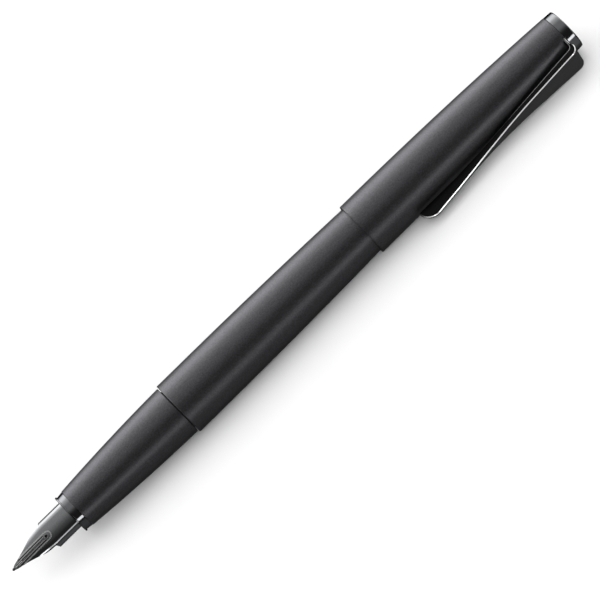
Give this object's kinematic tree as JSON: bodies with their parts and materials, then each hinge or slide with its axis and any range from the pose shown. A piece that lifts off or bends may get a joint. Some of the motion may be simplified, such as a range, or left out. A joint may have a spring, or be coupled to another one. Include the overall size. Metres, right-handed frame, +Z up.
{
  "type": "fountain pen",
  "caption": "Slim matte black metal fountain pen with its cap posted on the tail, a blade-shaped clip, a dark steel nib and a piston converter inside.",
  "frame": {"origin": "on the surface the pen lies on, under the middle of the whole pen's box", "axes": "+X along the pen's axis from the nib's point to the finial, +Z up, the clip leaning out towards -Y and down to the surface"},
  "size_m": [0.158, 0.0154, 0.0127],
  "materials": {
    "matte_black_steel": "fine matte black coating on steel tube",
    "black_chrome": "polished black chrome",
    "black_nib_steel": "polished black nib steel",
    "tipping_alloy": "hard alloy ball",
    "black_clip_steel": "satin black steel with bright edges",
    "black_plastic": "black moulded plastic",
    "gloss_black_plastic": "glossy black plastic",
    "clear_plastic": "clear plastic tube",
    "white_plastic": "white moulded plastic",
    "seal_rubber": "black rubber",
    "brass": "turned brass",
    "spring_steel": "bare spring steel"
  },
  "bodies": {
    "section": {"nib": "black_nib_steel", "nib_tipping": "tipping_alloy", "feed": "black_plastic", "trim_ring": "black_chrome", "grip_shell": "matte_black_steel", "section_core": "black_plastic"},
    "converter": {"converter_socket": "black_plastic", "converter_tube": "clear_plastic", "converter_sleeve": "black_chrome", "rod_guide": "black_plastic"},
    "knob": {"converter_knob": "gloss_black_plastic"},
    "piston": {"piston_rod": "white_plastic", "piston_seal": "seal_rubber"},
    "barrel": {"barrel": "matte_black_steel", "barrel_thread_insert": "brass", "barrel_end_plug": "black_plastic"},
    "cap": {"cap_shell": "matte_black_steel", "cap_clutch_ring": "spring_steel", "inner_cap": "black_plastic", "cap_crown_plug": "black_plastic", "finial": "black_chrome", "finial_nut": "brass"},
    "clip": {"clip": "black_clip_steel"}
  },
  "joints": [
    {"name": "barrel_off", "type": "slide", "parent": "section", "child": "barrel", "axis": [1, 0, 0], "range_m": [0, 0.082]},
    {"name": "cap_off", "type": "slide", "parent": "barrel", "child": "cap", "axis": [1, 0, 0], "range_m": [0, 0.034]},
    {"name": "clip_spring", "type": "hinge", "parent": "cap", "child": "clip", "pos_m": [0.0758, -0.00281, 0.00438], "axis": [0, -0.4337, 0.9011], "range_deg": [0, 2.5], "stiffness_Nm_per_rad": 3},
    {"name": "converter_off", "type": "slide", "parent": "section", "child": "converter", "axis": [1, 0, 0], "range_m": [0, 0.006]},
    {"name": "knob_turn", "type": "hinge", "parent": "converter", "child": "knob", "pos_m": [0.021, 0.00133, 0.00637], "axis": [-1, 0, 0], "range_deg": [0, 1800]},
    {"name": "piston_draw", "type": "slide", "parent": "converter", "child": "piston", "axis": [1, 0, 0], "range_m": [0, 0.02]}
  ],
  "couplings": [
    {"joint": "knob_turn", "follows": "piston_draw", "rad_per_m": 1570.8}
  ]
}
